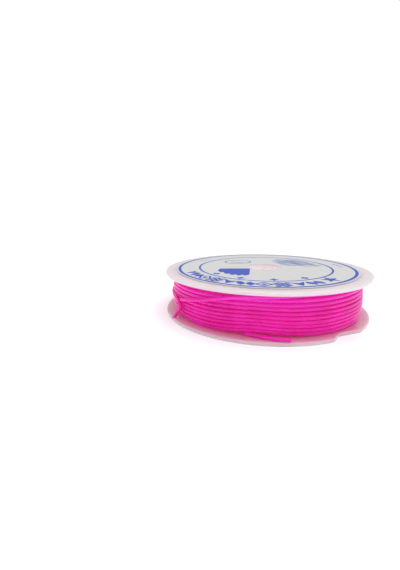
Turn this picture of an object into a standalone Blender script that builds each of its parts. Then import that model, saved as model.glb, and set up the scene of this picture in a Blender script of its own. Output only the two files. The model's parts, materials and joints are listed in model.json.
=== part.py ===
"""A flat spool of clear craft or fishing line: two plastic halves that snap together, a round
paper label and one line wound between the flanges.

The spool lies on its lower flange. The origin is at the middle of its underside, +Z is its axis,
and the loose end of the line points along +X on the side that faces -Y.
All sizes below are in millimetres and all angles in degrees; the objects are in metres."""

import math

import bmesh
import bpy

MM = 0.001

# ---- Driving dimensions ----
FLANGE_D = 62.0
SPOOL_H = 13.0  # outside face of one flange to outside face of the other
FLANGE_T = 1.0
RIM_ROUND = 0.3
DRUM_D = 44.0
DRUM_WALL = 1.2
BORE_D = 9.6
SLEEVE_WALL = 1.4

LINE_D = 1.0
WINDING_BELOW_RIM = 2.2  # depth from the rims to the winding where it is fullest
WINDING_CROWN = 0.6  # how far the winding's outline curves in towards the flanges
WINDING_FULLEST = 0.45  # share of the way up where it is fullest

LABEL_BELOW_RIM = 3.4
LABEL_BEYOND_BORE = 0.2
LABEL_T = 0.15
LABEL_GLUE = 0.05

# ---- Fits ----
TOUCH = 0.3  # gap between pieces that touch
SPIGOT_WALL = 1.0
SPIGOT_DEPTH = 2.4
COLLAR_WALL = 1.1
COLLAR_DEPTH = 7.0
SNAP_BITE = 0.3  # how far the snap bead reaches into the sleeve
SNAP_BEAD_H = 1.0
SNAP_SLOT_W = 1.2
SNAP_SLOTS = 2  # slots right across, so twice as many fingers
RIB_COUNT = 4
RIB_FIRST_ANGLE = 45.0
RIB_T = 1.0

# ---- Line slit and line notch in the rim of the lower flange ----
SLIT_PLAY = 0.6  # how much wider the slit is than the line
SLIT_ANGLE = -144.8
SLIT_DEPTH = 1.9
NOTCH_ANGLE = -48.5
NOTCH_DEPTH = 2.0
NOTCH_STEEP_SIDE = 3.6  # along the rim, from the deepest point to the steep side
NOTCH_GENTLE_SIDE = 5.5  # along the rim, from the deepest point to the gentle side

ROUND_STEPS = 96
SMALL_ROUND_STEPS = 24

# ---- Worked out from the above ----
FLANGE_R = FLANGE_D / 2
DRUM_R = DRUM_D / 2
BORE_R = BORE_D / 2
SLEEVE_R = BORE_R + SLEEVE_WALL
LINE_R = LINE_D / 2
WINDING_R = FLANGE_R - WINDING_BELOW_RIM
LOWER_FACE = FLANGE_T  # inside face of the lower flange
UPPER_FACE = SPOOL_H - FLANGE_T  # inside face of the upper flange
LABEL_R = FLANGE_R - LABEL_BELOW_RIM
LABEL_HOLE_R = BORE_R + LABEL_BEYOND_BORE
SLIT_R = (LINE_D + SLIT_PLAY) / 2  # half the slit's width, and its round inner end
SLIT_END_R = FLANGE_R - SLIT_DEPTH + SLIT_R  # from the spool's axis to the middle of that end


# ---- Small helpers ----
def clear_scene():
    for obj in list(bpy.data.objects):
        bpy.data.objects.remove(obj, do_unlink=True)


def plastic(name, colour, roughness, transmission=0.0):
    material = bpy.data.materials.new(name)
    material.use_nodes = True
    shader = material.node_tree.nodes["Principled BSDF"]
    shader.inputs["Base Color"].default_value = (*colour, 1.0)
    shader.inputs["Roughness"].default_value = roughness
    shader.inputs["Metallic"].default_value = 0.0
    shader.inputs["Transmission Weight"].default_value = transmission
    material.diffuse_color = (*colour, 1.0)
    return material


def polar(radius, angle, height):
    """A point in metres from a radius and a height in millimetres and an angle in degrees."""
    turn = math.radians(angle)
    return (radius * math.cos(turn) * MM, radius * math.sin(turn) * MM, height * MM)


def object_from(name, mesh_builder, material=None):
    mesh = bpy.data.meshes.new(name)
    mesh_builder.to_mesh(mesh)
    mesh_builder.free()
    obj = bpy.data.objects.new(name, mesh)
    bpy.context.scene.collection.objects.link(obj)
    if material:
        mesh.materials.append(material)
        mesh.shade_smooth()
        mesh.set_sharp_from_angle(angle=math.radians(30))
    return obj


def turned(name, profile, material=None, steps=ROUND_STEPS):
    """A solid turned about Z from a closed outline of (radius, height) points."""
    builder = bmesh.new()
    ring = [builder.verts.new((radius * MM, 0.0, height * MM)) for radius, height in profile]
    edges = [builder.edges.new((ring[i - 1], ring[i])) for i in range(len(ring))]
    bmesh.ops.spin(
        builder, geom=ring + edges, axis=(0, 0, 1), cent=(0, 0, 0), angle=2 * math.pi, steps=steps, use_merge=True
    )
    bmesh.ops.remove_doubles(builder, verts=builder.verts, dist=1e-6)
    bmesh.ops.recalc_face_normals(builder, faces=builder.faces)
    return object_from(name, builder, material)


def prism(name, outline, low, high):
    """A straight-sided solid from an outline of points in metres, between two heights in mm."""
    builder = bmesh.new()
    base = builder.faces.new([builder.verts.new((x, y, low * MM)) for x, y, _ in outline])
    raised = bmesh.ops.extrude_face_region(builder, geom=[base])
    top = [item for item in raised["geom"] if isinstance(item, bmesh.types.BMVert)]
    bmesh.ops.translate(builder, verts=top, vec=(0, 0, (high - low) * MM))
    bmesh.ops.recalc_face_normals(builder, faces=builder.faces)
    return object_from(name, builder)


def bar(name, length, width, low, high, start=0.0, angle=0.0):
    """A box that runs outward from a radius, turned about Z."""
    corners = [(start, -width / 2), (start + length, -width / 2), (start + length, width / 2), (start, width / 2)]
    turn = math.radians(angle)
    outline = [
        (
            (x * math.cos(turn) - y * math.sin(turn)) * MM,
            (x * math.sin(turn) + y * math.cos(turn)) * MM,
            0.0,
        )
        for x, y in corners
    ]
    return prism(name, outline, low, high)


def combine(target, tools, operation):
    """Joins the tools to the target or cuts them from it, and removes them."""
    for tool in tools:
        modifier = target.modifiers.new(operation.title(), "BOOLEAN")
        modifier.operation = operation
        modifier.solver = "EXACT"
        modifier.object = tool
    graph = bpy.context.evaluated_depsgraph_get()
    mesh = bpy.data.meshes.new_from_object(target.evaluated_get(graph))
    target.modifiers.clear()
    target.data = mesh
    mesh.name = target.name
    mesh.shade_smooth()
    mesh.set_sharp_from_angle(angle=math.radians(30))
    for tool in tools:
        bpy.data.objects.remove(tool, do_unlink=True)


def rim(height, outward):
    """The rounded edge of a flange whose flat outer face is at this height, from that face inward."""
    step = RIM_ROUND * (1 - math.cos(math.radians(45)))
    far = height + outward * FLANGE_T
    return [
        (FLANGE_R - RIM_ROUND, height),
        (FLANGE_R - step, height + outward * step),
        (FLANGE_R, height + outward * RIM_ROUND),
        (FLANGE_R, far - outward * RIM_ROUND),
        (FLANGE_R - step, far - outward * step),
        (FLANGE_R - RIM_ROUND, far),
    ]


# ---- The two halves ----
def collar_outer():
    return SLEEVE_R + TOUCH + COLLAR_WALL


def snap_bead_low():
    return UPPER_FACE - COLLAR_DEPTH


def lower_half(material):
    """Lower flange with the drum wall, the centre sleeve with its snap groove, and the ribs."""
    drum_top = UPPER_FACE - TOUCH
    groove_low = snap_bead_low() - TOUCH
    groove_high = snap_bead_low() + SNAP_BEAD_H + TOUCH
    groove_r = SLEEVE_R - SNAP_BITE - TOUCH
    profile = [(BORE_R, 0.0)]
    profile += rim(0.0, 1)
    profile += [
        (DRUM_R, LOWER_FACE),
        (DRUM_R, drum_top),
        (DRUM_R - DRUM_WALL, drum_top),
        (DRUM_R - DRUM_WALL, LOWER_FACE),
        (SLEEVE_R, LOWER_FACE),
        (SLEEVE_R, groove_low),
        (groove_r, groove_low),
        (groove_r, groove_high),
        (SLEEVE_R, groove_high),
        (SLEEVE_R, drum_top),
        (BORE_R, drum_top),
    ]
    half = turned("lower_half", profile, material)
    rib_start = collar_outer() + TOUCH
    rib_end = DRUM_R - DRUM_WALL / 2
    rib_top = UPPER_FACE - SPIGOT_DEPTH - TOUCH
    ribs = [
        bar(
            f"rib_{i}",
            rib_end - rib_start,
            RIB_T,
            FLANGE_T / 2,
            rib_top,
            rib_start,
            RIB_FIRST_ANGLE + 360.0 * i / RIB_COUNT,
        )
        for i in range(RIB_COUNT)
    ]
    combine(half, ribs, "UNION")
    combine(half, [line_slit_cutter(), line_notch_cutter()], "DIFFERENCE")
    return half


def line_slit_cutter():
    """A slot in from the rim with a round inner end, which holds the outer end of the line."""
    half_round = SMALL_ROUND_STEPS // 2
    outline = []
    for i in range(half_round + 1):
        spot = polar(SLIT_R, SLIT_ANGLE + 90.0 + 180.0 * i / half_round, 0.0)
        centre = polar(SLIT_END_R, SLIT_ANGLE, 0.0)
        outline.append((centre[0] + spot[0], centre[1] + spot[1], 0.0))
    outward = polar(2 * SLIT_DEPTH, SLIT_ANGLE, 0.0)
    for x, y, _ in (outline[-1], outline[0]):
        outline.append((x + outward[0], y + outward[1], 0.0))
    return prism("line_slit_cutter", outline, -FLANGE_T, 2 * FLANGE_T)


def line_notch_cutter():
    """A lopsided wedge out of the rim, which pinches the end of the line."""
    steep = math.degrees(NOTCH_STEEP_SIDE / FLANGE_R)
    gentle = math.degrees(NOTCH_GENTLE_SIDE / FLANGE_R)
    beyond = FLANGE_R + NOTCH_DEPTH
    outline = [
        polar(FLANGE_R - NOTCH_DEPTH, NOTCH_ANGLE, 0.0),
        polar(beyond, NOTCH_ANGLE - 2 * steep, 0.0),
        polar(beyond, NOTCH_ANGLE + 2 * gentle, 0.0),
    ]
    return prism("line_notch_cutter", outline, -FLANGE_T, 2 * FLANGE_T)


def upper_half(material):
    """Upper flange with the spigot that centres it in the drum, and the snap collar."""
    spigot_outer = DRUM_R - DRUM_WALL - TOUCH
    collar_inner = SLEEVE_R + TOUCH
    bead_inner = SLEEVE_R - SNAP_BITE
    spigot_low = UPPER_FACE - SPIGOT_DEPTH
    bead_low = snap_bead_low()
    profile = [(BORE_R, SPOOL_H)]
    profile += rim(SPOOL_H, -1)
    profile += [
        (spigot_outer, UPPER_FACE),
        (spigot_outer, spigot_low),
        (spigot_outer - SPIGOT_WALL, spigot_low),
        (spigot_outer - SPIGOT_WALL, UPPER_FACE),
        (collar_outer(), UPPER_FACE),
        (collar_outer(), bead_low),
        (bead_inner, bead_low),
        (bead_inner, bead_low + SNAP_BEAD_H),
        (collar_inner, bead_low + SNAP_BEAD_H),
        (collar_inner, UPPER_FACE),
        (BORE_R, UPPER_FACE),
    ]
    half = turned("upper_half", profile, material)
    reach = collar_outer() + TOUCH
    slots = [
        bar(
            f"slot_{i}",
            2 * reach,
            SNAP_SLOT_W,
            bead_low - TOUCH,
            UPPER_FACE - SNAP_SLOT_W,
            -reach,
            180.0 * (i + 0.5) / SNAP_SLOTS,
        )
        for i in range(SNAP_SLOTS)
    ]
    combine(half, slots, "DIFFERENCE")
    return half


def top_label(material):
    """The round label on the upper flange."""
    low = SPOOL_H + LABEL_GLUE
    high = low + LABEL_T
    profile = [
        (LABEL_HOLE_R, low),
        (LABEL_R, low),
        (LABEL_R, high),
        (LABEL_HOLE_R, high),
    ]
    return turned("top_label", profile, material)


# ---- The line ----
def winding_low():
    return LOWER_FACE + TOUCH


def winding_high():
    return UPPER_FACE - TOUCH


def winding_radius(height):
    """Outside radius of the winding at a height: it curves in a little towards the flanges."""
    share = (height - winding_low()) / (winding_high() - winding_low())
    return WINDING_R - WINDING_CROWN * (2 * (share - WINDING_FULLEST)) ** 2


def line_winding(material):
    """The outer shape of all the turns, as one ring round the drum."""
    inner = DRUM_R + TOUCH
    stations = 9
    profile = [(inner, winding_low())]
    for i in range(stations):
        height = winding_low() + (winding_high() - winding_low()) * i / (stations - 1)
        profile.append((winding_radius(height), height))
    profile.append((inner, winding_high()))
    return turned("line_winding", profile, material)


def smooth_route(points, spacing):
    """Points along a Catmull-Rom curve through the route's own points, at an even spacing."""
    padded = [points[0], *points, points[-1]]
    fine = []
    for a, b, c, d in zip(padded, padded[1:], padded[2:], padded[3:]):
        for i in range(20):
            t = i / 20
            fine.append(
                tuple(
                    0.5
                    * (2 * q + (r - p) * t + (2 * p - 5 * q + 4 * r - s) * t**2 + (3 * q - p - 3 * r + s) * t**3)
                    for p, q, r, s in zip(a, b, c, d)
                )
            )
    fine.append(points[-1])
    lengths = [math.dist(p, q) for p, q in zip(fine, fine[1:])]
    count = max(2, round(sum(lengths) / (spacing * MM)))
    wanted = sum(lengths) / count
    route = [fine[0]]
    walked = 0.0
    for length, point in zip(lengths, fine[1:]):
        walked += length
        if walked >= wanted * len(route) - 1e-9:
            route.append(point)
    route[-1] = fine[-1]
    return route


def tube(name, route, material):
    """The line itself along a route, as a round tube with closed ends."""
    curve = bpy.data.curves.new(name, "CURVE")
    curve.dimensions = "3D"
    curve.bevel_depth = LINE_R * MM
    curve.bevel_resolution = 2
    curve.use_fill_caps = True
    spline = curve.splines.new("POLY")
    spline.points.add(len(route) - 1)
    for spot, place in zip(spline.points, route):
        spot.co = (*place, 1.0)
    curve.materials.append(material)
    obj = bpy.data.objects.new(name, curve)
    bpy.context.scene.collection.objects.link(obj)
    return obj


def line_tail(material):
    """The loose end: out from under the winding at the front, along the lower flange to its cut end."""
    lying = LOWER_FACE + TOUCH + LINE_R
    beside = winding_radius(lying) + TOUCH + LINE_R
    route = [
        polar(beside, -92.0, lying),
        polar(beside + 0.4, -89.0, lying),
        polar(beside + 0.8, -85.0, lying),
        polar(beside + 1.1, -81.0, lying),
        polar(beside + 1.2, -77.5, lying),
    ]
    return tube("line_tail", smooth_route(route, 1.5 * LINE_D), material)


def line_end(material):
    """The other end: up out of the slit in the rim and in a half loop up the side of the winding."""
    beside = WINDING_R + TOUCH + LINE_R
    route = [
        polar(SLIT_END_R, SLIT_ANGLE, LINE_R),
        polar(SLIT_END_R, SLIT_ANGLE + 0.2, LOWER_FACE + 0.2),
        polar(beside + 0.2, SLIT_ANGLE + 1.4, LOWER_FACE + 1.05),
        polar(beside + 0.05, SLIT_ANGLE + 3.6, LOWER_FACE + 2.0),
        polar(beside, SLIT_ANGLE + 5.0, LOWER_FACE + 3.1),
        polar(beside, SLIT_ANGLE + 4.9, LOWER_FACE + 4.2),
        polar(beside, SLIT_ANGLE + 3.2, LOWER_FACE + 5.1),
        polar(beside, SLIT_ANGLE + 0.2, LOWER_FACE + 5.5),
        polar(beside, SLIT_ANGLE - 3.9, LOWER_FACE + 5.5),
    ]
    return tube("line_end", smooth_route(route, 1.2 * LINE_D), material)


def main():
    clear_scene()
    milky = plastic("milky_plastic", (0.80, 0.76, 0.78), 0.32, 0.25)
    paper = plastic("label_paper", (0.82, 0.82, 0.82), 0.25)
    line = plastic("pink_line", (0.83, 0.02, 0.37), 0.28, 0.2)
    lower_half(milky)
    upper_half(milky)
    top_label(paper)
    line_winding(line)
    line_tail(line)
    line_end(line)


main()
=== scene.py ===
"""Looks of the flat line spool: milky snap-together plastic halves, a printed paper label and
ten metres of neon pink line, wound turn by turn from its end in the rim slit to its loose tail.

Sizes are in millimetres and angles in degrees, measured from +X round +Z; the objects are in metres."""

import json
import math

import bmesh
import bpy
from mathutils import Matrix, Vector, noise

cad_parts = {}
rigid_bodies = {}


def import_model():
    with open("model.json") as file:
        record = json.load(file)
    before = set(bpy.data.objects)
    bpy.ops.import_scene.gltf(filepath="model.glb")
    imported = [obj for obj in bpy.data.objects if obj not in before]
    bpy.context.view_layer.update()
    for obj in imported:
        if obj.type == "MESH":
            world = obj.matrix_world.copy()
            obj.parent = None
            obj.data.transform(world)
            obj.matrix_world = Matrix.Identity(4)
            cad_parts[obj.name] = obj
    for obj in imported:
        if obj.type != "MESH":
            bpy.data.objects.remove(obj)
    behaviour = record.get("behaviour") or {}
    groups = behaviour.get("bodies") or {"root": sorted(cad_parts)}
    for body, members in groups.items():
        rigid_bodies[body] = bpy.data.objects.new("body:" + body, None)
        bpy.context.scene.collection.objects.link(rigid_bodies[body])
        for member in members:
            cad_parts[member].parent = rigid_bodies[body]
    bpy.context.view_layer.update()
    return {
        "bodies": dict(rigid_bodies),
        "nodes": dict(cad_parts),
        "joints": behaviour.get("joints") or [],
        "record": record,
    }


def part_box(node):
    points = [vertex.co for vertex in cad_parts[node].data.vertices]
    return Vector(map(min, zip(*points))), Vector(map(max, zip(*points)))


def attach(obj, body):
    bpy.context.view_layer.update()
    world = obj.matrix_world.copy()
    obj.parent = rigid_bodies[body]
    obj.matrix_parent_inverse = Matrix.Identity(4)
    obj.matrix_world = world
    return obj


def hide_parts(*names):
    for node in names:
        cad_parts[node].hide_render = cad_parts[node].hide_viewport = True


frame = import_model()

MM = 0.001
BODY = "root"


# ---- Sizes taken from the frame ----
def node_box(name):
    low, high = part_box(name)
    return Vector(low) / MM, Vector(high) / MM


lower_box = node_box("lower_half")
upper_box = node_box("upper_half")
label_box = node_box("top_label")
winding_box = node_box("line_winding")
tail_box = node_box("line_tail")

TOUCH = 0.3  # gap that the CAD model keeps between touching pieces
FLANGE_R = lower_box[1].x
SPOOL_H = upper_box[1].z
LOWER_FACE = winding_box[0].z - TOUCH
UPPER_FACE = winding_box[1].z + TOUCH
FLANGE_T = LOWER_FACE
WINDING_R = winding_box[1].x
LABEL_R = label_box[1].x
LABEL_LOW = label_box[0].z
LABEL_TOP = label_box[1].z
LINE_D = tail_box[1].z - tail_box[0].z
LINE_R = LINE_D / 2

# ---- Sizes that the frame's boxes do not show ----
DRUM_R = 22.0
DRUM_WALL = 1.2
BORE_R = 4.8
SLEEVE_WALL = 1.4
LABEL_HOLE_R = 5.0
SLIT_ANGLE = -144.8
SLIT_DEPTH = 1.9
SLIT_R = 0.8  # half of its width, and its round inner end
SLIT_END_R = FLANGE_R - SLIT_DEPTH + SLIT_R
NOTCH_ANGLE = -48.5
NOTCH_DEPTH = 2.0
NOTCH_STEEP_SIDE = 3.6
NOTCH_GENTLE_SIDE = 5.5
WINDING_CROWN = 0.6
WINDING_FULLEST = 0.45


# ---- Helpers ----
def polar(radius, angle, height):
    turn = math.radians(angle)
    return Vector((radius * math.cos(turn), radius * math.sin(turn), height)) * MM


def add_object(name, data):
    obj = bpy.data.objects.new(name, data)
    bpy.context.scene.collection.objects.link(obj)
    return obj


def add_mesh(name, builder, smooth_angle=35.0):
    mesh = bpy.data.meshes.new(name)
    builder.to_mesh(mesh)
    builder.free()
    mesh.shade_smooth()
    mesh.set_sharp_from_angle(angle=math.radians(smooth_angle))
    return add_object(name, mesh)


def finish_piece(obj, material, slot, *nodes):
    obj.data.materials.clear()
    obj.data.materials.append(material)
    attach(obj, BODY)
    if nodes:
        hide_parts(*nodes)


def new_material(name):
    material = bpy.data.materials.new(name)
    material.use_nodes = True
    tree = material.node_tree
    return material, tree, tree.nodes["Principled BSDF"]


def object_coordinates(tree):
    return tree.nodes.new("ShaderNodeTexCoord").outputs["Object"]


def noise_node(tree, coordinates, scale, detail=3.0, roughness=0.5):
    node = tree.nodes.new("ShaderNodeTexNoise")
    node.inputs["Scale"].default_value = scale
    node.inputs["Detail"].default_value = detail
    node.inputs["Roughness"].default_value = roughness
    tree.links.new(coordinates, node.inputs["Vector"])
    return node.outputs["Fac"]


def colour_ramp(tree, factor, stops):
    node = tree.nodes.new("ShaderNodeValToRGB")
    elements = node.color_ramp.elements
    while len(elements) < len(stops):
        elements.new(0.5)
    for element, (position, colour) in zip(elements, stops):
        element.position = position
        element.color = (*colour, 1.0)
    tree.links.new(factor, node.inputs["Fac"])
    return node.outputs["Color"]


def value_range(tree, factor, low, high):
    node = tree.nodes.new("ShaderNodeMapRange")
    node.inputs["To Min"].default_value = low
    node.inputs["To Max"].default_value = high
    tree.links.new(factor, node.inputs["Value"])
    return node.outputs["Result"]


def bump(tree, shader, factor, strength, distance):
    node = tree.nodes.new("ShaderNodeBump")
    node.inputs["Strength"].default_value = strength
    node.inputs["Distance"].default_value = distance
    tree.links.new(factor, node.inputs["Height"])
    tree.links.new(node.outputs["Normal"], shader.inputs["Normal"])


def distance_from_axis(tree, coordinates):
    flat = tree.nodes.new("ShaderNodeVectorMath")
    flat.operation = "MULTIPLY"
    flat.inputs[1].default_value = (1.0, 1.0, 0.0)
    tree.links.new(coordinates, flat.inputs[0])
    length = tree.nodes.new("ShaderNodeVectorMath")
    length.operation = "LENGTH"
    tree.links.new(flat.outputs["Vector"], length.inputs[0])
    return length.outputs["Value"]


def height_above_floor(tree, coordinates):
    split = tree.nodes.new("ShaderNodeSeparateXYZ")
    tree.links.new(coordinates, split.inputs["Vector"])
    return split.outputs["Z"]


def fade(tree, value, start, end):
    """1 at the start and beyond, 0 at the end and beyond; both in millimetres."""
    node = tree.nodes.new("ShaderNodeMapRange")
    node.interpolation_type = "SMOOTHSTEP"
    node.inputs["From Min"].default_value = min(start, end) * MM
    node.inputs["From Max"].default_value = max(start, end) * MM
    node.inputs["To Min"].default_value = 1.0 if start < end else 0.0
    node.inputs["To Max"].default_value = 0.0 if start < end else 1.0
    tree.links.new(value, node.inputs["Value"])
    return node.outputs["Result"]


def product(tree, *factors):
    result = factors[0]
    for factor in factors[1:]:
        node = tree.nodes.new("ShaderNodeMath")
        node.operation = "MULTIPLY"
        tree.links.new(result, node.inputs[0])
        tree.links.new(factor, node.inputs[1])
        result = node.outputs["Value"]
    return result


def mixed(tree, factor, plain, other):
    node = tree.nodes.new("ShaderNodeMix")
    node.data_type = "RGBA"
    tree.links.new(factor, node.inputs["Factor"])
    tree.links.new(plain, node.inputs["A"])
    node.inputs["B"].default_value = (*other, 1.0)
    return node.outputs["Result"]


# ---- Camera ----
CAMERA_AT = (0.0, -100.1, 31.3)
CAMERA_LENS = 19.76
CAMERA_YAW = -11.73
CAMERA_DOWN = 13.66
CAMERA_ROLL = -0.53


def add_camera():
    data = bpy.data.cameras.new("camera")
    data.lens = CAMERA_LENS
    data.sensor_width = 36.0
    data.clip_start = 0.005
    data.clip_end = 20.0
    camera = add_object("camera", data)
    turn = Matrix.Rotation(math.radians(-CAMERA_YAW), 4, "Z")
    tilt = Matrix.Rotation(math.radians(90.0 - CAMERA_DOWN), 4, "X")
    roll = Matrix.Rotation(math.radians(CAMERA_ROLL), 4, "Z")
    place = Matrix.Translation(Vector(CAMERA_AT) * MM)
    camera.matrix_world = place @ turn @ tilt @ roll
    bpy.context.scene.camera = camera


# ---- Materials ----
def pink_line_material():
    material, tree, shader = new_material("pink_line")
    place = object_coordinates(tree)
    drift = noise_node(tree, place, 140.0, 2.0)
    colour = colour_ramp(tree, drift, [(0.35, (0.58, 0.002, 0.26)), (0.65, (0.70, 0.010, 0.38))])
    # Painted light: the top of the winding, just under the upper flange, is mixed towards a paler pink
    # for light that comes through the milky flange.
    painted_light_under_flange = fade(tree, height_above_floor(tree, place), UPPER_FACE, 7.0)
    colour = mixed(tree, painted_light_under_flange, colour, (0.78, 0.055, 0.60))
    tree.links.new(colour, shader.inputs["Base Color"])
    shader.inputs["Subsurface Weight"].default_value = 0.9
    shader.inputs["Subsurface Radius"].default_value = (1.0, 0.22, 0.55)
    shader.inputs["Subsurface Scale"].default_value = 0.0024
    shader.inputs["Transmission Weight"].default_value = 0.10
    shader.inputs["IOR"].default_value = 1.5
    shader.inputs["Specular IOR Level"].default_value = 0.32
    # Painted glow: a faint pink emission brightens the whole line, standing in for the neon's
    # fluorescence.
    shader.inputs["Emission Color"].default_value = (1.0, 0.012, 0.46, 1.0)
    shader.inputs["Emission Strength"].default_value = 0.16
    fine = noise_node(tree, place, 900.0, 2.0)
    tree.links.new(value_range(tree, fine, 0.24, 0.36), shader.inputs["Roughness"])
    bump(tree, shader, fine, 0.08, 0.00005)
    return material


def milky_plastic_material():
    """Milky plastic with painted pink light next to the winding and a painted pale glow in the bore."""
    material, tree, shader = new_material("milky_plastic")
    place = object_coordinates(tree)
    flow = noise_node(tree, place, 45.0, 3.0)
    colour = colour_ramp(tree, flow, [(0.3, (0.655, 0.605, 0.625)), (0.7, (0.700, 0.655, 0.670))])
    away = distance_from_axis(tree, place)
    height = height_above_floor(tree, place)
    # Painted light: the faces between the flanges, near the winding, are tinted pink for the line's light
    # reflected and scattered onto the plastic.
    inside = product(
        tree,
        fade(tree, height, LOWER_FACE - 0.02, LOWER_FACE - 0.9),
        fade(tree, height, UPPER_FACE + 0.02, UPPER_FACE + 0.3),
    )
    painted_pink_light = product(tree, inside, fade(tree, away, WINDING_R - 1.5, FLANGE_R + 4.0))
    colour = mixed(tree, painted_pink_light, colour, (0.84, 0.21, 0.38))
    # Painted light: the bore is mixed towards a pale pink and given a faint glow, for light passing
    # through the translucent plastic.
    bore = fade(tree, away, BORE_R + 0.1, BORE_R + 0.6)
    colour = mixed(tree, bore, colour, (0.97, 0.88, 0.92))
    tree.links.new(colour, shader.inputs["Base Color"])
    # Emission colour for the painted glow in the bore: black elsewhere, pale pink in the bore.
    dark = colour_ramp(tree, bore, [(0.0, (0.0, 0.0, 0.0)), (1.0, (1.0, 0.84, 0.90))])
    tree.links.new(dark, shader.inputs["Emission Color"])
    shader.inputs["Emission Strength"].default_value = 0.26
    shader.inputs["Subsurface Weight"].default_value = 1.0
    shader.inputs["Subsurface Radius"].default_value = (1.0, 0.95, 0.95)
    shader.inputs["Subsurface Scale"].default_value = 0.004
    shader.inputs["Transmission Weight"].default_value = 0.1
    shader.inputs["IOR"].default_value = 1.49
    shader.inputs["Coat Weight"].default_value = 0.35
    shader.inputs["Coat Roughness"].default_value = 0.16
    grain = noise_node(tree, place, 420.0, 2.0)
    tree.links.new(value_range(tree, grain, 0.24, 0.38), shader.inputs["Roughness"])
    bump(tree, shader, grain, 0.05, 0.00001)
    return material


def label_paper_material():
    material, tree, shader = new_material("label_paper")
    place = object_coordinates(tree)
    fibre = noise_node(tree, place, 380.0, 5.0, 0.6)
    colour = colour_ramp(tree, fibre, [(0.3, (0.58, 0.58, 0.575)), (0.7, (0.635, 0.635, 0.63))])
    tree.links.new(colour, shader.inputs["Base Color"])
    shader.inputs["Coat Weight"].default_value = 0.5
    shader.inputs["Coat Roughness"].default_value = 0.18
    tree.links.new(value_range(tree, fibre, 0.30, 0.42), shader.inputs["Roughness"])
    bump(tree, shader, fibre, 0.06, 0.00004)
    return material


def ink_material(name, dark, light):
    material, tree, shader = new_material(name)
    place = object_coordinates(tree)
    cover = noise_node(tree, place, 1100.0, 4.0, 0.65)
    colour = colour_ramp(tree, cover, [(0.30, dark), (0.75, light)])
    tree.links.new(colour, shader.inputs["Base Color"])
    shader.inputs["Specular IOR Level"].default_value = 0.2
    tree.links.new(value_range(tree, cover, 0.30, 0.5), shader.inputs["Roughness"])
    return material


# ---- The line: one path from the end in the rim slit to the loose tail ----
POINTS_PER_TURN = 72
TOP_LAYER = 6
TURN_PITCH = 1.15
TOP_LAYER_PITCH = 1.12
STEP_ARC = 40.0  # angle over which the line climbs from one layer to the next
LAY_LOW = LOWER_FACE + LINE_R + 0.02
LAY_HIGH = UPPER_FACE - LINE_R - 0.02
INNER_R = DRUM_R + LINE_R + 0.02
TOP_R = WINDING_R - LINE_R
WOUND_FROM_ANGLE = -722.0  # where the loose turns end and the wound ones start
WOUND_FROM_DROP = 1.1  # how far below the top of the winding that is
TURN_BACK_ANGLE = -93.5  # where the inner end turns back under the winding
RUN_OUT_SPREAD = 15.0  # angle over which the turns rise over the inner end


def catmull_rom(points, steps):
    padded = [points[0], *points, points[-1]]
    fine = []
    for a, b, c, d in zip(padded, padded[1:], padded[2:], padded[3:]):
        for i in range(steps):
            t = i / steps
            square = 2 * a - 5 * b + 4 * c - d
            cube = 3 * b - a - 3 * c + d
            fine.append(0.5 * (2 * b + (c - a) * t + square * t**2 + cube * t**3))
    fine.append(points[-1])
    return fine


def ease(low, high, value):
    share = min(1.0, max(0.0, (value - low) / (high - low)))
    return share * share * (3 - 2 * share)


def wander(angle, channel):
    """A slow, repeatable drift between about -1 and 1 along the line."""
    return noise.noise(Vector((angle / 130.0, channel * 7.3, 0.5))) * 1.6


def layer_radius(layer, height):
    """Radius of a turn's middle: the outer layers sink in a little towards the flanges."""
    share = (height - LOWER_FACE) / (UPPER_FACE - LOWER_FACE)
    crown = WINDING_CROWN * (2 * (share - WINDING_FULLEST)) ** 2
    flat = INNER_R + (TOP_R - INNER_R) * layer / TOP_LAYER
    return flat - crown * layer / TOP_LAYER


def end_route():
    """Up out of the slit in the rim and in a half loop up the side of the winding."""
    beside = WINDING_R + 0.45
    return [
        polar(FLANGE_R - 0.75, SLIT_ANGLE, LINE_R),
        polar(FLANGE_R - 0.8, SLIT_ANGLE + 0.1, LOWER_FACE + 0.2),
        polar(beside + 0.6, SLIT_ANGLE + 0.8, LOWER_FACE + 1.05),
        polar(beside + 0.25, SLIT_ANGLE + 2.3, LOWER_FACE + 2.0),
        polar(beside, SLIT_ANGLE + 3.7, LOWER_FACE + 3.1),
        polar(beside, SLIT_ANGLE + 3.8, LOWER_FACE + 4.2),
        polar(beside, SLIT_ANGLE + 2.3, LOWER_FACE + 5.1),
        polar(beside, SLIT_ANGLE - 0.6, LOWER_FACE + 5.5),
        polar(beside - 0.15, SLIT_ANGLE - 4.8, LOWER_FACE + 5.5),
    ]


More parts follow.
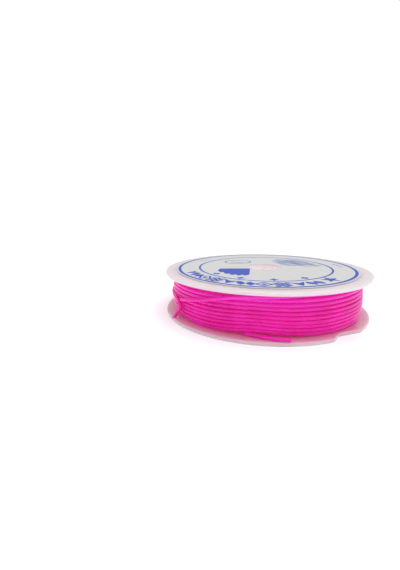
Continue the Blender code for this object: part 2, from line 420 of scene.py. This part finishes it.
def loose_turn():
    """The last two turns, in steps of (angle, radius, height).

    They go up the back, once round under the upper flange, down across the front left and up again."""
    over = TOP_R + 0.45
    stations = [
        (-158.0, over + 0.05, 6.5),
        (-169.0, over - 0.15, 6.7),
        (-185.0, over - 0.2, 7.2),
        (-205.0, over - 0.2, 8.0),
        (-225.0, over - 0.2, 8.9),
        (-248.0, over - 0.2, 9.7),
        (-272.0, over - 0.3, 10.5),
        (-295.0, over - 0.5, 11.1),
        (-315.0, TOP_R - 0.25, LAY_HIGH - 0.05),
        (-345.0, TOP_R - 0.3, LAY_HIGH - 0.03),
        (-380.0, TOP_R - 0.3, LAY_HIGH - 0.03),
        (-410.0, TOP_R - 0.3, LAY_HIGH - 0.05),
        (-437.0, TOP_R - 0.2, LAY_HIGH - 0.1),
        (-452.0, TOP_R + 0.1, LAY_HIGH - 0.4),
        (-464.0, over, 10.55),
        (-474.0, over + 0.2, 9.5),
        (-482.0, over + 0.25, 8.55),
        (-490.0, over + 0.25, 7.7),
        (-497.0, over + 0.2, 6.9),
        (-505.0, over - 0.05, 6.05),
        (-514.0, over - 0.25, 5.6),
        (-530.0, over - 0.3, 5.75),
        (-550.0, over - 0.3, 6.3),
        (-585.0, over - 0.2, 7.3),
        (-620.0, over - 0.2, 8.3),
        (-655.0, over - 0.25, 9.3),
        (-685.0, over - 0.5, 10.1),
        (-705.0, TOP_R - 0.25, LAY_HIGH - 1.08),
    ]
    return [polar(radius, angle, height) for angle, radius, height in stations]


def lifted(angle, height):
    """Height of a turn, raised where the inner end runs out under the winding."""
    away = (angle - TURN_BACK_ANGLE + 180.0) % 360.0 - 180.0
    hump = math.exp(-((away / RUN_OUT_SPREAD) ** 2))
    share = (LAY_HIGH - height) / (LAY_HIGH - LAY_LOW)
    return height + LINE_D * hump * max(0.0, share)


def wound_turns():
    """All turns from the outside in, from the top of the top layer down to the drum."""
    points = []
    step = 360.0 / POINTS_PER_TURN
    angle = WOUND_FROM_ANGLE
    height = LAY_HIGH - WOUND_FROM_DROP
    layer = TOP_LAYER
    direction = -1.0
    while True:
        top = layer == TOP_LAYER
        pitch = TOP_LAYER_PITCH if top else TURN_PITCH
        pitch *= 1.0 + (0.26 if top else 0.03) * wander(angle, 1.0)
        drift = (0.13 if top else 0.04) * wander(angle * 2.3, 2.0)
        outward = (0.12 if top else 0.03) * wander(angle * 1.7, 3.0)
        radius = layer_radius(layer, height) + outward
        points.append(polar(radius, angle, lifted(angle, height + drift)))
        angle -= step
        height += direction * pitch * step / 360.0
        target = LAY_HIGH if direction > 0 else LAY_LOW
        if direction * (height - target) < 0:
            continue
        if layer == 0:
            return points, angle
        for i in range(1, round(STEP_ARC / step) + 1):
            share = ease(0, 1, i * step / STEP_ARC)
            radius = layer_radius(layer - share, target)
            points.append(polar(radius, angle, lifted(angle, target)))
            angle -= step
        height = target
        layer -= 1
        direction = -direction


def tail_route(start_angle):
    """From the drum, on round to the turn-back, under the winding and out along the flange."""
    lying = LOWER_FACE + LINE_R + 0.02
    beside = WINDING_R - 0.35
    points = []
    turns_on = math.ceil((TURN_BACK_ANGLE - start_angle) / 360.0)
    turn_back = TURN_BACK_ANGLE - 360.0 * turns_on
    angle = start_angle
    while angle > turn_back + 2.5:
        points.append(polar(INNER_R, angle, LAY_LOW))
        angle -= 5.0
    middle = (INNER_R + beside) / 2
    bend = (beside - INNER_R) / 2
    for i in range(7):
        swing = math.radians(180.0 * i / 6)
        along = -bend * math.sin(swing)
        radius = middle - bend * math.cos(swing)
        points.append(polar(radius, TURN_BACK_ANGLE + math.degrees(along / middle), lying))
    for angle, outward in ((-91.0, 0.35), (-88.0, 0.85), (-84.5, 1.4), (-81.0, 1.8), (-77.0, 2.05)):
        points.append(polar(beside + outward, angle, lying))
    return points


def line_points():
    turns, last_angle = wound_turns()
    outer = catmull_rom(end_route() + loose_turn(), 6)
    inner = catmull_rom(tail_route(last_angle), 3)
    return outer + turns + inner


def add_line(material):
    points = line_points()
    curve = bpy.data.curves.new("line", "CURVE")
    curve.dimensions = "3D"
    curve.bevel_depth = LINE_R * MM
    curve.bevel_resolution = 4
    curve.use_fill_caps = True
    spline = curve.splines.new("POLY")
    spline.points.add(len(points) - 1)
    for spot, point in zip(spline.points, points):
        spot.co = (*point, 1.0)
    spline.use_smooth = True
    line = add_object("line", curve)
    finish_piece(line, material, "pink_line", "line_winding", "line_tail", "line_end")


# ---- The two plastic halves ----
LATHE_STEPS = 192
RIM_ROUND = 0.38  # radius of the flanges' rounded rims
SLEEVE_TOP = UPPER_FACE - 0.04  # leaves only a hairline seam in the bore
SPIGOT_DEPTH = 2.4
SPIGOT_WALL = 1.0
COLLAR_DEPTH = 7.0
COLLAR_WALL = 1.1


def lathe(name, profile):
    builder = bmesh.new()
    ring = [builder.verts.new((radius * MM, 0.0, height * MM)) for radius, height in profile]
    edges = [builder.edges.new((ring[i - 1], ring[i])) for i in range(len(ring))]
    bmesh.ops.spin(
        builder,
        geom=ring + edges,
        axis=(0, 0, 1),
        cent=(0, 0, 0),
        angle=2 * math.pi,
        steps=LATHE_STEPS,
        use_merge=True,
    )
    bmesh.ops.remove_doubles(builder, verts=builder.verts, dist=1e-6)
    bmesh.ops.recalc_face_normals(builder, faces=builder.faces)
    return add_mesh(name, builder)


def arc(centre, radius, start, end, steps):
    """Points of an arc in the (radius, height) plane."""
    points = []
    for i in range(steps + 1):
        turn = math.radians(start + (end - start) * i / steps)
        points.append((centre[0] + radius * math.cos(turn), centre[1] + radius * math.sin(turn)))
    return points


def lower_profile():
    t = FLANGE_T
    drum_top = UPPER_FACE - TOUCH
    rim = RIM_ROUND
    sleeve = BORE_R + SLEEVE_WALL
    inside = DRUM_R - DRUM_WALL
    profile = arc((BORE_R + 0.25, 0.25), 0.25, 180, 270, 3)
    profile += arc((FLANGE_R - rim, rim), rim, -90, 0, 5)
    profile += arc((FLANGE_R - rim, t - rim), rim, 0, 90, 5)
    profile += arc((DRUM_R + 0.02, t + 0.02), 0.02, -90, -180, 2)
    profile += arc((DRUM_R - 0.2, drum_top - 0.2), 0.2, 0, 90, 3)
    profile += arc((inside + 0.2, drum_top - 0.2), 0.2, 90, 180, 3)
    profile += arc((inside - 0.4, t + 0.4), 0.4, 0, -90, 4)
    profile += arc((sleeve + 0.4, t + 0.4), 0.4, -90, -180, 4)
    profile += [(sleeve, SLEEVE_TOP), (BORE_R, SLEEVE_TOP)]
    return profile


def upper_profile():
    t = FLANGE_T
    rim = RIM_ROUND
    spigot = DRUM_R - DRUM_WALL - TOUCH
    spigot_low = UPPER_FACE - SPIGOT_DEPTH
    collar = BORE_R + SLEEVE_WALL + TOUCH
    collar_low = UPPER_FACE - COLLAR_DEPTH
    profile = arc((BORE_R + 0.25, SPOOL_H - 0.25), 0.25, 180, 90, 3)
    profile += arc((FLANGE_R - rim, SPOOL_H - rim), rim, 90, 0, 5)
    profile += arc((FLANGE_R - rim, SPOOL_H - t + rim), rim, 0, -90, 5)
    profile += [
        (spigot, UPPER_FACE),
        (spigot, spigot_low),
        (spigot - SPIGOT_WALL, spigot_low),
        (spigot - SPIGOT_WALL, UPPER_FACE),
        (collar + COLLAR_WALL, UPPER_FACE),
        (collar + COLLAR_WALL, collar_low),
        (collar, collar_low),
        (collar, UPPER_FACE),
        (BORE_R, UPPER_FACE),
    ]
    return profile


def cut(target, cutter):
    modifier = target.modifiers.new("cut", "BOOLEAN")
    modifier.operation = "DIFFERENCE"
    modifier.solver = "EXACT"
    modifier.object = cutter
    mesh = bpy.data.meshes.new_from_object(target.evaluated_get(bpy.context.evaluated_depsgraph_get()))
    target.modifiers.clear()
    target.data = mesh
    mesh.shade_smooth()
    mesh.set_sharp_from_angle(angle=math.radians(35))
    bpy.data.objects.remove(cutter, do_unlink=True)


def prism(name, outline, low, high):
    builder = bmesh.new()
    base = builder.faces.new([builder.verts.new((point.x, point.y, low * MM)) for point in outline])
    raised = bmesh.ops.extrude_face_region(builder, geom=[base])
    top = [item for item in raised["geom"] if isinstance(item, bmesh.types.BMVert)]
    bmesh.ops.translate(builder, verts=top, vec=(0, 0, (high - low) * MM))
    bmesh.ops.recalc_face_normals(builder, faces=builder.faces)
    return add_mesh(name, builder)


def slit_cutter():
    centre = polar(SLIT_END_R, SLIT_ANGLE, 0.0)
    outline = [centre + polar(SLIT_R, SLIT_ANGLE + 90.0 + i * 10.0, 0.0) for i in range(19)]
    outward = polar(2 * SLIT_DEPTH, SLIT_ANGLE, 0.0)
    outline += [outline[-1] + outward, outline[0] + outward]
    return prism("slit_cutter", outline, -1.0, FLANGE_T + 0.6)


def notch_cutter():
    steep = math.degrees(NOTCH_STEEP_SIDE / FLANGE_R)
    gentle = math.degrees(NOTCH_GENTLE_SIDE / FLANGE_R)
    deepest = FLANGE_R - NOTCH_DEPTH
    beyond = FLANGE_R + NOTCH_DEPTH
    outline = [
        polar(deepest + 0.12, NOTCH_ANGLE - 0.12 * steep, 0.0),
        polar(beyond, NOTCH_ANGLE - 2 * steep, 0.0),
        polar(beyond, NOTCH_ANGLE + 2 * gentle, 0.0),
        polar(deepest + 0.12, NOTCH_ANGLE + 0.12 * gentle, 0.0),
        polar(deepest, NOTCH_ANGLE, 0.0),
    ]
    return prism("notch_cutter", outline, -1.0, FLANGE_T + 0.6)


def add_lower_half(material):
    half = lathe("spool_lower_half", lower_profile())
    cut(half, slit_cutter())
    cut(half, notch_cutter())
    finish_piece(half, material, "milky_plastic", "lower_half")


def add_upper_half(material):
    half = lathe("spool_upper_half", upper_profile())
    finish_piece(half, material, "milky_plastic", "upper_half")


# ---- The label and its print ----
def add_label(material):
    edge = 0.05
    profile = [
        (LABEL_HOLE_R, LABEL_LOW),
        (LABEL_R, LABEL_LOW),
        (LABEL_R, LABEL_TOP - edge),
        (LABEL_R - edge, LABEL_TOP),
        (LABEL_HOLE_R + edge, LABEL_TOP),
        (LABEL_HOLE_R, LABEL_TOP - edge),
    ]
    finish_piece(lathe("label", profile), material, "label_paper", "top_label")


PRINT_LOW = LABEL_TOP - 0.05  # the print is sunk into the label and stands a hair proud of it
PRINT_TOP = LABEL_TOP + 0.012
OUTER_RING_R = LABEL_R - 0.95
INNER_RING_R = LABEL_R - 7.25
BAND_LOW_R = INNER_RING_R + 1.5
BAND_HIGH_R = OUTER_RING_R - 0.85


def flat_solid(builder, outline):
    """A thin solid with straight sides from an outline of (x, y) points in millimetres."""
    low = [builder.verts.new((x * MM, y * MM, PRINT_LOW * MM)) for x, y in outline]
    high = [builder.verts.new((x * MM, y * MM, PRINT_TOP * MM)) for x, y in outline]
    builder.faces.new(low)
    builder.faces.new(high)
    for i in range(len(outline)):
        builder.faces.new((low[i - 1], low[i], high[i], high[i - 1]))


def ribbon(builder, path, width, closed=False):
    """A flat stroke of a width along (x, y) points."""
    count = len(path)
    sides = []
    for i, (x, y) in enumerate(path):
        before = path[i - 1] if closed or i else path[i]
        after = path[(i + 1) % count] if closed or i < count - 1 else path[i]
        along = Vector((after[0] - before[0], after[1] - before[1])).normalized()
        half = width(i / (count - 1)) / 2 if callable(width) else width / 2
        sides.append(((x - along.y * half, y + along.x * half), (x + along.y * half, y - along.x * half)))
    rings = []
    for left, right in sides:
        rings.append(
            [
                builder.verts.new((left[0] * MM, left[1] * MM, PRINT_LOW * MM)),
                builder.verts.new((right[0] * MM, right[1] * MM, PRINT_LOW * MM)),
                builder.verts.new((right[0] * MM, right[1] * MM, PRINT_TOP * MM)),
                builder.verts.new((left[0] * MM, left[1] * MM, PRINT_TOP * MM)),
            ]
        )
    pairs = list(zip(rings, rings[1:]))
    if closed:
        pairs.append((rings[-1], rings[0]))
    else:
        builder.faces.new(rings[0])
        builder.faces.new(rings[-1])
    for first, second in pairs:
        for i in range(4):
            builder.faces.new((first[i - 1], first[i], second[i], second[i - 1]))


def flat_polar(radius, angle):
    turn = math.radians(angle)
    return (radius * math.cos(turn), radius * math.sin(turn))


def circle(radius, steps=180):
    return [flat_polar(radius, 360.0 * i / steps) for i in range(steps)]


def star(builder, centre, size, points=5, sharp=0.42, turn=90.0):
    outline = []
    for i in range(2 * points):
        reach = size if i % 2 == 0 else size * sharp
        x, y = flat_polar(reach, turn + 180.0 * i / points)
        outline.append((centre[0] + x, centre[1] + y))
    flat_solid(builder, outline)


def band_shape(builder, angle, width, kind):
    """One bold ornament of the border between the rings: leaves, a lozenge, ripples or a fin."""

    def spot(along, up):
        radius = BAND_LOW_R + (BAND_HIGH_R - BAND_LOW_R) * up
        return flat_polar(radius, angle + math.degrees(along * width / radius))

    if kind == "leaves":
        for side in (-0.28, 0.28):
            leaf = []
            for i in range(24):
                swing = 2 * math.pi * i / 24
                up = 0.5 - 0.5 * math.cos(swing)
                leaf.append(spot(side + 0.27 * math.sin(swing) ** 3 + 0.24 * (up - 0.5), up))
            flat_solid(builder, leaf)
    elif kind == "lozenge":
        frame = [(-0.46, 0.5), (0.0, 0.02), (0.46, 0.5), (0.0, 0.98)]
        ribbon(builder, [spot(along, up) for along, up in frame], 0.8, closed=True)
        flat_solid(builder, [spot(0.4 * along, 0.5 + 0.4 * (up - 0.5)) for along, up in frame])
    elif kind == "ripples":
        for up in (0.14, 0.5, 0.86):
            path = []
            for i in range(25):
                ripple = 0.09 * math.sin(2 * math.pi * i / 12)
                path.append(spot(-0.46 + 0.92 * i / 24, up + ripple))
            ribbon(builder, path, 0.85)
    else:
        outline = [(-0.48, 0.0), (0.0, 0.3), (0.48, 0.0), (0.2, 0.62), (0.0, 1.0), (-0.2, 0.62)]
        flat_solid(builder, [spot(along, up) for along, up in outline])


BAND_SHAPES = [
    (-57.5, 4.1, "leaves"),
    (-68.0, 4.3, "fin"),
    (-78.5, 4.4, "ripples"),
    (-89.5, 4.6, "lozenge"),
    (-100.5, 4.4, "leaves"),
    (-111.0, 4.4, "fin"),
    (-121.0, 4.2, "ripples"),
    (-131.0, 4.2, "lozenge"),
    (-140.5, 4.0, "leaves"),
    (-149.5, 3.7, "fin"),
]


def wave_panel(builder):
    """A filled panel with three straight edges and one cut into waves."""
    outline = [(-13.6, -7.6), (-13.3, -4.9), (-4.2, -3.3), (-3.9, -12.4)]
    steps = 48
    for i in range(1, steps):
        share = i / steps
        depth = 2.6 * math.sin(math.pi * share) + 1.3 * abs(math.sin(share * math.pi * 5.0))
        outline.append((-3.9 - 9.7 * share, -12.4 + 4.8 * share - depth))
    flat_solid(builder, outline)


def wave_strokes(builder):
    """Rows of ripples, one behind the other, like the far side of a lake."""
    for start, length, y, width in (
        (5.2, 11.5, 4.6, 0.9),
        (4.2, 14.0, 7.0, 1.45),
        (3.2, 13.6, 9.6, 1.7),
        (2.8, 12.0, 12.3, 1.8),
        (3.8, 8.6, 15.1, 1.4),
    ):
        path = []
        for i in range(73):
            share = i / 72
            ripple = 0.45 * math.sin(share * length * 1.4)
            path.append((start + length * share, y + ripple - 1.2 * share * share))

        def tapered(share, width=width):
            return width * (0.35 + 0.65 * math.sin(math.pi * share) ** 0.5)

        ribbon(builder, path, tapered)


def oval_outline(builder):
    path = []
    for i in range(64):
        x, y = flat_polar(1.0, 360.0 * i / 64)
        path.append((-9.0 + 4.3 * x + 0.6 * y, 8.7 + 3.6 * y))
    ribbon(builder, path, 0.55, closed=True)
    ribbon(builder, [(-11.2, 7.4), (-9.8, 8.0), (-8.4, 7.4), (-7.0, 8.0)], 0.7)


def add_print(bold, pale):
    builder = bmesh.new()
    ribbon(builder, circle(OUTER_RING_R), 0.85, closed=True)
    ribbon(builder, circle(INNER_RING_R), 0.6, closed=True)
    for angle, width, kind in BAND_SHAPES:
        band_shape(builder, angle, width, kind)
    star(builder, flat_polar(INNER_RING_R + 2.85, -42.6), 2.75, turn=47.4)
    for angle in (-54.0, -81.5, -109.0, -136.0):
        star(builder, flat_polar(INNER_RING_R - 2.0, angle), 1.4, points=4, sharp=0.5, turn=angle)
    wave_panel(builder)
    bmesh.ops.recalc_face_normals(builder, faces=builder.faces)
    finish_piece(add_mesh("label_print_bold", builder), bold, "label_paper")
    # The far strokes, the oval and the small far stars are print in a blue ink lightened as painted
    # glare.
    builder = bmesh.new()
    wave_strokes(builder)
    oval_outline(builder)
    for angle in (10.0, 15.0, 20.0, 150.0, 156.0):
        star(builder, flat_polar(INNER_RING_R + 3.6, angle), 0.8, points=4, turn=angle)
    bmesh.ops.recalc_face_normals(builder, faces=builder.faces)
    finish_piece(add_mesh("label_print_glare_paled", builder), pale, "label_paper")


# ---- Stage and light ----
FLOOR_GLOW = 0.14  # a lit white sweep, so the floor round the spool stays white
TOP_LIGHT_STRENGTH = 1.4
TOP_LIGHT_SPREAD = 60.0
TOP_LIGHT_FROM = (0.22, -0.03, 1.0)
AMBIENT = 0.7  # strength of the surround as light
SEEN_WHITE = 1.05  # and as the camera sees it


def add_floor():
    builder = bmesh.new()
    bmesh.ops.create_circle(builder, cap_ends=True, segments=64, radius=4.0)
    floor = add_mesh("floor", builder)
    material, tree, shader = new_material("floor")
    place = object_coordinates(tree)
    tone = noise_node(tree, place, 3.0)
    colour = colour_ramp(tree, tone, [(0.3, (0.97, 0.97, 0.97)), (0.7, (0.99, 0.99, 0.99))])
    tree.links.new(colour, shader.inputs["Base Color"])
    shader.inputs["Roughness"].default_value = 0.9
    shader.inputs["Specular IOR Level"].default_value = 0.1
    shader.inputs["Emission Color"].default_value = (1.0, 1.0, 1.0, 1.0)
    shader.inputs["Emission Strength"].default_value = FLOOR_GLOW
    floor.data.materials.append(material)


def add_top_light():
    data = bpy.data.lights.new("top_light", "SUN")
    data.energy = TOP_LIGHT_STRENGTH
    data.angle = math.radians(TOP_LIGHT_SPREAD)
    light = add_object("top_light", data)
    light.rotation_euler = Vector(TOP_LIGHT_FROM).to_track_quat("Z", "Y").to_euler()


def add_light():
    """A broad top light, in a pale surround that the camera sees as white."""
    world = bpy.data.worlds.new("studio")
    bpy.context.scene.world = world
    world.use_nodes = True
    tree = world.node_tree
    background = tree.nodes["Background"]
    background.inputs["Color"].default_value = (1.0, 1.0, 1.0, 1.0)
    seen = tree.nodes.new("ShaderNodeLightPath").outputs["Is Camera Ray"]
    tree.links.new(value_range(tree, seen, AMBIENT, SEEN_WHITE), background.inputs["Strength"])
    add_top_light()
    bpy.context.scene.view_settings.view_transform = "Standard"


add_camera()
pink = pink_line_material()
add_line(pink)
milky = milky_plastic_material()
add_lower_half(milky)
add_upper_half(milky)
add_label(label_paper_material())
bold_ink = ink_material("bold_ink", (0.004, 0.042, 0.42), (0.016, 0.085, 0.50))
# Print in part and painted highlight in part: a blue ink made paler for glare on the far side of the
# label.
glare_paled_ink = ink_material("glare_paled_ink", (0.08, 0.13, 0.38), (0.22, 0.28, 0.52))
add_print(bold_ink, glare_paled_ink)
add_floor()
add_light()
